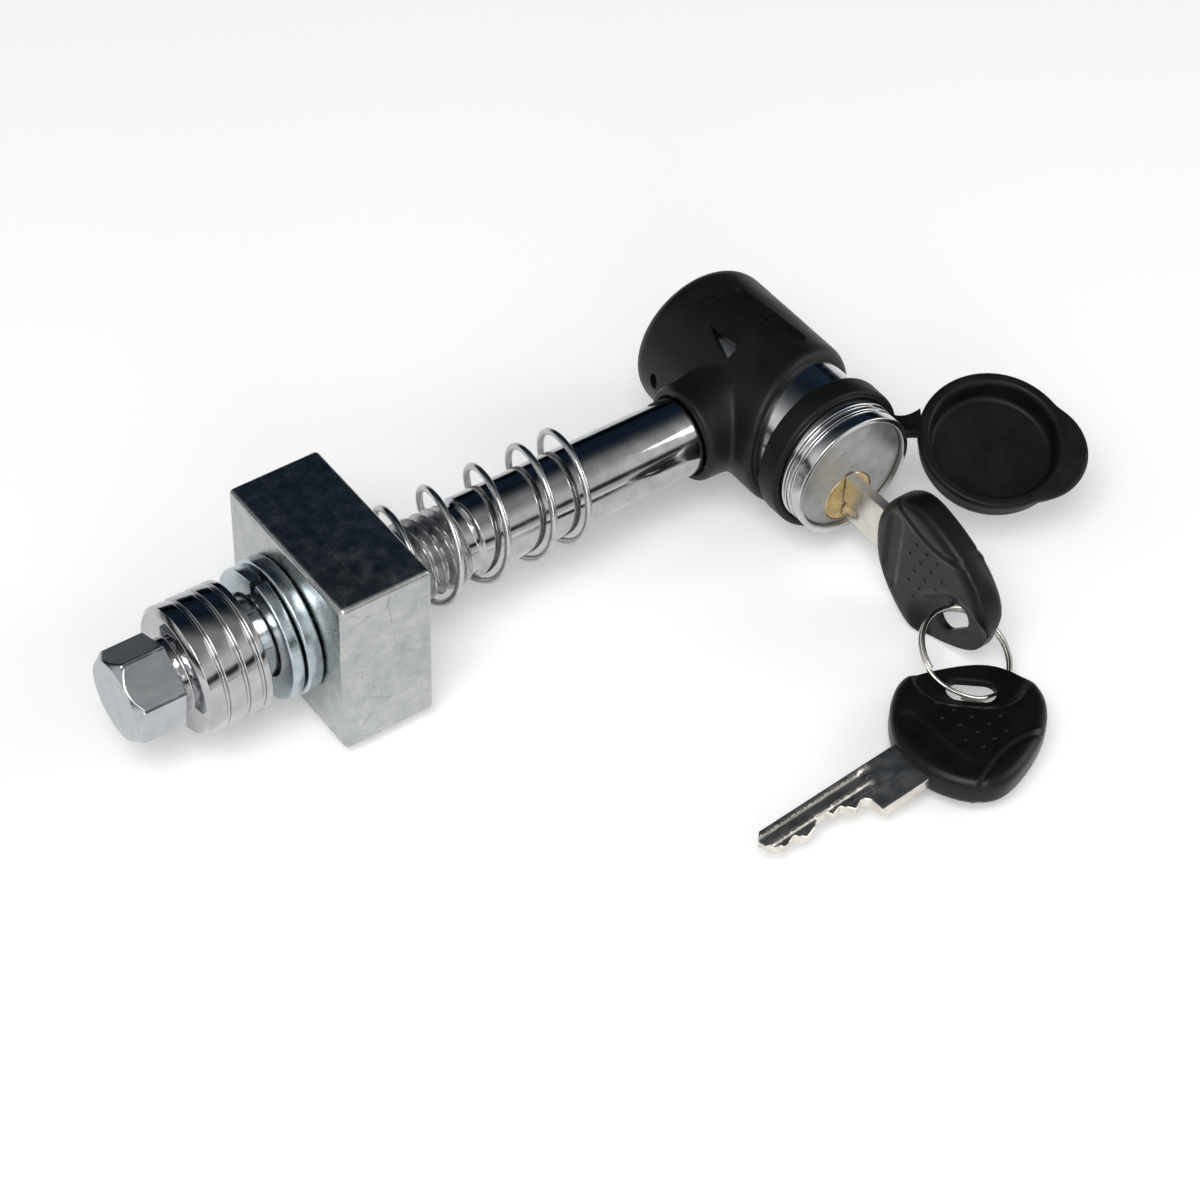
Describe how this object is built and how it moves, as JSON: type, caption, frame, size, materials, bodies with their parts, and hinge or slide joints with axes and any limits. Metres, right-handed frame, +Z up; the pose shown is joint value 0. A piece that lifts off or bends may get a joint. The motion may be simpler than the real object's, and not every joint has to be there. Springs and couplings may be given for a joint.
{
  "type": "hitch pin lock",
  "caption": "Threaded hitch pin with a hex-drive head, spring-backed nut block and keyed push-on lock head, shown with a dust cap and keys on a split ring.",
  "frame": {"origin": "on the pin's axis, in the free stretch of smooth shank between the block's spring and the lock head", "axes": "+X along the pin towards the lock head, +Z up, -Y towards the key side of the lock"},
  "size_m": [0.1898, 0.1189, 0.0382],
  "materials": {
    "bolt_chrome": "bright plated steel, polished head and shank",
    "zinc_washers": "blue-white zinc plate, slightly matt",
    "zinc_block": "dull zinc plate with fine handling marks",
    "spring_wire": "zinc plated spring wire",
    "seal_rubber": "soft matt black rubber",
    "barrel_plate": "satin chrome over steel",
    "cover_plastic": "fine-textured black moulding",
    "core_zinc": "die-cast zinc, plated",
    "plug_brass": "machined brass, lightly tarnished",
    "lock_pins": "machined brass",
    "small_steel": "bright spring steel",
    "cap_rubber": "matt black rubber",
    "key_plate": "nickel plated, milled grooves",
    "bow_plastic": "satin black moulding",
    "ring_steel": "nickel plated spring steel"
  },
  "bodies": {
    "block": {"nut_block": "zinc_block", "block_spring": "spring_wire"},
    "washers": {"lock_washer": "zinc_washers", "flat_washer": "zinc_washers"},
    "bolt": {"hitch_bolt": "bolt_chrome"},
    "seal": {"pin_seal": "seal_rubber"},
    "lock": {"lock_barrel": "barrel_plate", "lock_cover": "cover_plastic", "core_housing": "core_zinc", "core_retaining_pin": "small_steel", "chamber_cover": "lock_pins", "latch_spring": "small_steel", "driver_pin_1": "lock_pins", "driver_pin_2": "lock_pins", "driver_pin_3": "lock_pins", "driver_pin_4": "lock_pins", "tumbler_spring_1": "small_steel", "tumbler_spring_2": "small_steel", "tumbler_spring_3": "small_steel", "tumbler_spring_4": "small_steel"},
    "plug": {"plug": "plug_brass", "cam": "small_steel", "plug_clip": "small_steel", "key_pin_1": "lock_pins", "key_pin_2": "lock_pins", "key_pin_3": "lock_pins", "key_pin_4": "lock_pins"},
    "latch": {"latch_bolt": "small_steel"},
    "cap_strap": {"cap_strap": "cap_rubber"},
    "dust_cap": {"dust_cap": "cap_rubber"},
    "key": {"key_blade": "key_plate", "key_bow": "bow_plastic"},
    "key_ring": {"split_ring": "ring_steel"},
    "spare_key": {"spare_key_blade": "key_plate", "spare_key_bow": "bow_plastic"}
  },
  "joints": [
    {"name": "bolt_turn", "type": "hinge", "parent": "block", "child": "washers", "pos_m": [-0.0685, 0, 0], "axis": [1, 0, 0], "range_deg": [-2530, 512]},
    {"name": "bolt_advance", "type": "slide", "parent": "washers", "child": "bolt", "axis": [1, 0, 0], "range_m": [-0.01616, 0.00323]},
    {"name": "lock_pull_off", "type": "slide", "parent": "bolt", "child": "seal", "axis": [1, 0, 0], "range_m": [-0.0004, 0.05]},
    {"name": "lock_swivel", "type": "hinge", "parent": "seal", "child": "lock", "pos_m": [0.015, 0, 0], "axis": [1, 0, 0], "continuous": true},
    {"name": "key_turn", "type": "hinge", "parent": "lock", "child": "plug", "pos_m": [0.0311, -0.02, -0.006], "axis": [0, -1, 0], "range_deg": [0, 90]},
    {"name": "latch_slide", "type": "slide", "parent": "lock", "child": "latch", "axis": [0, 1, 0], "range_m": [0, 0.0021], "deforming": ["latch_spring"]},
    {"name": "key_pull", "type": "slide", "parent": "plug", "child": "key", "axis": [0, -1, 0], "range_m": [0, 0.034]},
    {"name": "ring_turn", "type": "hinge", "parent": "key", "child": "key_ring", "pos_m": [0.02744, -0.06698, -0.01236], "axis": [0.1879, -0.4118, 0.8917], "continuous": true},
    {"name": "spare_key_swing", "type": "hinge", "parent": "key", "child": "spare_key", "pos_m": [0.02744, -0.06698, -0.01236], "axis": [0.1879, -0.4118, 0.8917], "range_deg": [-20, 45]},
    {"name": "cap_swivel", "type": "hinge", "parent": "lock", "child": "cap_strap", "pos_m": [0.0311, -0.0195, 0], "axis": [0, -1, 0], "range_deg": [-30, 190]},
    {"name": "cap_flex", "type": "hinge", "parent": "cap_strap", "child": "dust_cap", "pos_m": [0.04909, -0.02329, 0], "axis": [-0.7317, -0.6816, 0], "range_deg": [-15, 30], "stiffness_Nm_per_rad": 0.02}
  ],
  "couplings": [
    {"joint": "bolt_turn", "follows": "bolt_advance", "rad_per_m": 2721.1},
    {"joint": "latch_slide", "follows": "key_turn", "m_per_rad": 0.0012732}
  ]
}
